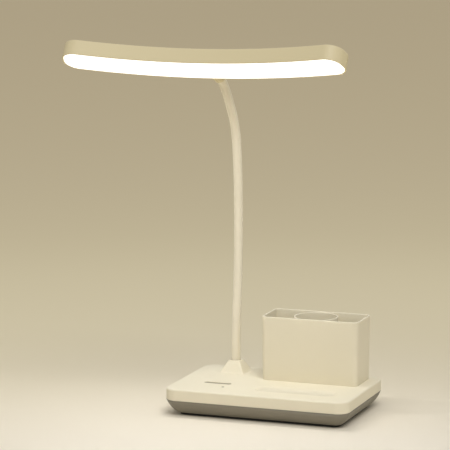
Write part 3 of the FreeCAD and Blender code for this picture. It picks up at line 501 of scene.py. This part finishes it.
def headShell():
    # the housing's profile from inside its lit face, over the lip, up the wall and across the top
    top, edge, lip = head["thickness"], head["edgeRadius"], head["lipRadius"]
    wall, recess = head["wall"], head["recess"]
    middle = head["width"] / 2
    profile = [(middle, recess), (8.0, recess), (wall, recess), (wall, lip)]
    profile += roundedBite((wall, lip), (wall - lip, 0), 4).tolist()[1:]
    profile += [(lip, 0)] + roundedBite((lip, 0), (0, lip), 4, -1).tolist()[1:]
    profile += [(0, 4.0), (0, 8.0), (0, 12.0)]
    profile += roundedBite((0, top - edge), (edge, top), 8).tolist()
    profile += [(3.0, top), (7.0, top), (12.0, top), (middle, top)]
    return weldedRings("headShell", barRings(profile, head["length"], head["width"], head["corner"]))


def headSocket():
    # turned about the neck's axis: a lip at its mouth, a slow cone and a soft foot on the wall
    along, away, up, origin = headAxes()
    reach, bore = head["socketLength"], head["boreRadius"]
    thin, thick, edge, foot = (head[key] for key in ("mouthRadius", "rootRadius", "mouthEdge", "footRadius"))
    profile = [(head["boreDepth"], bore), (0.1, bore)]
    profile += roundedBite((0.1, bore), (0.0, bore + 0.25), 2, -1).tolist()[1:]
    profile += roundedBite((0.0, thin - edge), (edge, thin), 4, -1).tolist()
    profile += [(depth, thin + (thick - thin) * depth / reach) for depth in (3, 6, 9, 12)]
    profile += roundedBite(head["footFrom"], (head["footAt"], foot), 6, -1).tolist()
    profile.append((head["footEnd"], foot))
    turn = np.linspace(0, 2 * math.pi, 64, endpoint=False)
    spoke = np.cos(turn)[:, None] * along + np.sin(turn)[:, None] * up
    mouth = origin + along * head["offset"] + away * (head["width"] / 2 + reach) + up * head["thickness"] / 2
    rings = [mouth - away * depth + spoke * radius for depth, radius in profile]
    return ringPiece("headSocket", np.array(rings) * mm)


def headPanel():
    # the milky panel's profile from its back, round its edge and across its face, which lies just inside
    # the housing's lip
    gap, rim = head["wall"] + head["panelGap"], head["panelEdge"]
    middle = head["width"] / 2
    profile = [(middle, head["recess"] - 0.1), (gap, head["recess"] - 0.1), (gap, rim)]
    profile += roundedBite((gap, rim), (gap + rim, 0.05), 4).tolist()[1:]
    profile += [(6.0, 0.04), (12.0, 0.03), (middle, 0.03)]
    return weldedRings("headPanel", barRings(profile, head["length"], head["width"], head["corner"]))


# the housing and socket take the head's cream, darkened as painted shade
settle(headShell(), "head", ["head_cover"], finish["creamHeadPaintedShade"])
settle(headSocket(), "head", [], finish["creamHeadPaintedShade"])
settle(headPanel(), "head", ["diffuser"], finish["diffuserMilk"])
print("head")


# Pen holder: drafted box with a round tube between its long walls

holder = {
    "x": 34.5, "y": 34.5, "length": 107.0, "depth": 50.0, "foot": 28.2, "top": 97.6, "corner": 6.2,
    "draft": 0.9, "wall": 1.8, "floor": 2.0, "rim": 0.6, "tubeRadius": 23.5, "tubeWall": 1.6, "tubeDrop": 0.8,
}


def holderRings(profile):
    # level rounded rectangles: each profile point is an inset from the holder's top outline and a height
    rings = []
    for inset, height in profile:
        corner = max(holder["corner"] - inset, 0.4)
        flat = roundedOutline(holder["length"] - 2 * inset, holder["depth"] - 2 * inset, corner, 10, 24, 12)
        rings.append(np.column_stack([flat + (holder["x"], holder["y"]), np.full(len(flat), height)]))
    return np.array(rings) * mm


def holderBox():
    # profile from the underside, up the drafted wall, over the rim and down inside to the floor
    foot, top, draft, wall, rim = (holder[key] for key in ("foot", "top", "draft", "wall", "rim"))
    inside = foot + holder["floor"]
    profile = [(24.0, foot), (10.0, foot), (draft + 0.8, foot)]
    profile += roundedBite((draft + 0.8, foot), (draft, foot + 0.8), 5, -1).tolist()[1:]
    profile += [(draft * (1 - share), foot + (top - foot) * share) for share in (0.25, 0.5, 0.75, 0.95)]
    profile += roundedBite((0, top - rim), (rim, top), 5).tolist()
    profile += roundedBite((wall - rim, top), (wall, top - rim), 5, -1).tolist()
    for share in (0.9, 0.6, 0.3, 0.03):
        profile.append((wall + draft * (1 - share), inside + (top - inside) * share))
    profile += [(wall + draft + 1.5, inside), (12.0, inside), (23.6, inside)]
    return ringPiece("holderBox", holderRings(profile))


def holderTube():
    # profile turned about the tube's upright axis: up inside, over the rim and down outside
    outer = holder["tubeRadius"]
    inner = outer - holder["tubeWall"]
    low, high = holder["foot"] + holder["floor"] - 0.5, holder["top"] - holder["tubeDrop"]
    rim = 0.5
    profile = [(inner, low)] + [(inner, low + (high - low) * share) for share in (0.3, 0.6, 0.9)]
    profile += roundedBite((inner, high - rim), (inner + rim, high), 5).tolist()
    profile += roundedBite((outer - rim, high), (outer, high - rim), 5, -1).tolist()
    profile += [(outer, low + (high - low) * share) for share in (0.9, 0.6, 0.3)]
    profile += [(outer, low), (inner, low)]
    turn = np.linspace(0, 2 * math.pi, 96, endpoint=False)
    circle = np.column_stack([np.cos(turn), np.sin(turn), np.zeros(len(turn))])
    rings = [np.array([holder["x"], holder["y"], height]) + radius * circle for radius, height in profile]
    return weldedRings("holderTube", np.array(rings) * mm)


settle(holderBox(), "holder", ["pen_holder"], finish["creamHolder"])
settle(holderTube(), "holder", [], finish["creamHolder"])
print("pen holder")


# Base and the pieces inside: the solids' own shapes, with their corners joined where they show

shown = {
    "top_cover": ("coverShell", "base", "creamShell"),
    "bottom_shell": ("lowerShell", "base", "greyShell"),
    "foot_mat": ("footMat", "base", "footRubber"),
}
slots = {row["node"]: row["material_slot"] for row in frame["record"]["subparts"]}
for node, (name, body, look) in shown.items():
    settle(mergedCopy(node, name), body, [node], finish[look])

slotFinish = {
    "cream_shell": "creamShell", "grey_shell": "greyShell", "neck_skin": "neckSkin", "neck_coil": "steel",
    "lead": "darkLead", "foot_rubber": "footRubber", "steel": "steel", "nickel": "nickel",
    "cell_wrap": "cellWrap", "circuit_board": "circuitBoard", "white_board": "whiteBoard", "chip": "chip",
    "led_chip": "ledChip", "foam": "foam", "smoked_window": "smokedWindow", "lens": "lens",
    "aluminium_strip": "aluminium", "diffuser_milk": "diffuserMilk",
}
for node, piece in nodes.items():
    if piece.hide_render:
        continue
    piece.data.materials.clear()
    piece.data.materials.append(finish[slotFinish[slots[node]]])
print("base and inner pieces", len(nodes))


# Floor, light and camera

stage = {
    # the spot is the middle of the floor's painted pool of light
    "floorRadius": 40.0, "paintedPoolMiddle": (0.15, -0.42), "worldColor": (0.425, 0.417, 0.392),
    "sunLevel": 1.30, "sunAngle": 30, "sunTurn": (28, 20, 0),
    # share of the way out, and the floor's colour there: a painted pool of light that fades outwards
    "ramp": [
        (0.00, (0.92, 0.855, 0.745)), (0.24, (0.89, 0.825, 0.71)), (0.34, (0.82, 0.745, 0.605)),
        (0.42, (0.775, 0.695, 0.52)), (0.49, (0.79, 0.705, 0.505)), (0.56, (0.75, 0.665, 0.465)),
        (0.62, (0.67, 0.585, 0.40)), (0.70, (0.61, 0.525, 0.36)), (0.78, (0.575, 0.49, 0.33)),
        (0.86, (0.545, 0.46, 0.31)), (1.00, (0.515, 0.435, 0.29)),
    ],
}


def floorMaterial():
    # painted pool of light: pale near the lamp and darker further out. The ramp reads distance / (distance +
    # 1 metre)
    material, tree, shader = newMaterial("floorPaintedPool")
    place = tree.nodes.new("ShaderNodeTexCoord")
    shift = tree.nodes.new("ShaderNodeVectorMath")
    shift.operation = "SUBTRACT"
    shift.inputs[1].default_value = (*stage["paintedPoolMiddle"], 0)
    tree.links.new(place.outputs["Object"], shift.inputs[0])
    reach = tree.nodes.new("ShaderNodeVectorMath")
    reach.operation = "LENGTH"
    tree.links.new(shift.outputs[0], reach.inputs[0])
    beyond = mathNode(tree, "ADD", reach.outputs["Value"], 1.0)
    share = mathNode(tree, "DIVIDE", reach.outputs["Value"], beyond)
    ramp = tree.nodes.new("ShaderNodeValToRGB")
    ramp.color_ramp.interpolation = "B_SPLINE"
    stops = ramp.color_ramp.elements
    while len(stops) < len(stage["ramp"]):
        stops.new(0.5)
    for stop, (position, color) in zip(stops, stage["ramp"]):
        stop.position = position
        stop.color = (*color, 1)
    tree.links.new(share, ramp.inputs["Fac"])
    tree.links.new(ramp.outputs["Color"], shader.inputs["Base Color"])
    shader.inputs["Roughness"].default_value = 0.9
    shader.inputs["Specular IOR Level"].default_value = 0.1
    return material


def makeFloor():
    # one wide disc
    turn = np.linspace(0, 2 * math.pi, 96, endpoint=False)
    rim = np.column_stack([np.cos(turn), np.sin(turn), np.zeros(96)]) * stage["floorRadius"]
    mesh = bpy.data.meshes.new("floor")
    mesh.from_pydata(rim.tolist(), [], [list(range(96))])
    mesh.materials.append(floorMaterial())
    floor = bpy.data.objects.new("floor", mesh)
    bpy.context.scene.collection.objects.link(floor)


def makeLight():
    # an even world, seen by the camera in the far floor's colour, and one broad soft sun
    world = bpy.data.worlds.new("studio")
    bpy.context.scene.world = world
    world.use_nodes = True
    tree = world.node_tree
    back = tree.nodes["Background"]
    rays = tree.nodes.new("ShaderNodeLightPath")
    mix = tree.nodes.new("ShaderNodeMix")
    mix.data_type = "RGBA"
    mix.inputs["A"].default_value = (*stage["worldColor"], 1)
    mix.inputs["B"].default_value = (*stage["ramp"][-1][1], 1)
    tree.links.new(rays.outputs["Is Camera Ray"], mix.inputs["Factor"])
    tree.links.new(mix.outputs["Result"], back.inputs["Color"])
    sun = bpy.data.lights.new("softSun", "SUN")
    sun.energy = stage["sunLevel"]
    sun.angle = math.radians(stage["sunAngle"])
    lamp = bpy.data.objects.new("softSun", sun)
    lamp.rotation_euler = [math.radians(a) for a in stage["sunTurn"]]
    bpy.context.scene.collection.objects.link(lamp)


# found from the straight edges of the base
view = {"lens": 200, "sensor": 36, "far": 100, "place": (0.8444, -2.4369, 0.6038), "dip": 8.95, "turn": 20.27}


def makeCamera():
    # looks down by the dip, turned about the upright axis
    lens = bpy.data.cameras.new("camera")
    lens.lens = view["lens"]
    lens.sensor_width = view["sensor"]
    lens.clip_end = view["far"]
    camera = bpy.data.objects.new("camera", lens)
    camera.location = view["place"]
    camera.rotation_euler = (math.radians(90 - view["dip"]), 0, math.radians(view["turn"]))
    bpy.context.scene.collection.objects.link(camera)
    bpy.context.scene.camera = camera


makeFloor()
makeLight()
makeCamera()
bpy.context.scene.view_settings.view_transform = "Standard"
print("floor, light and camera")
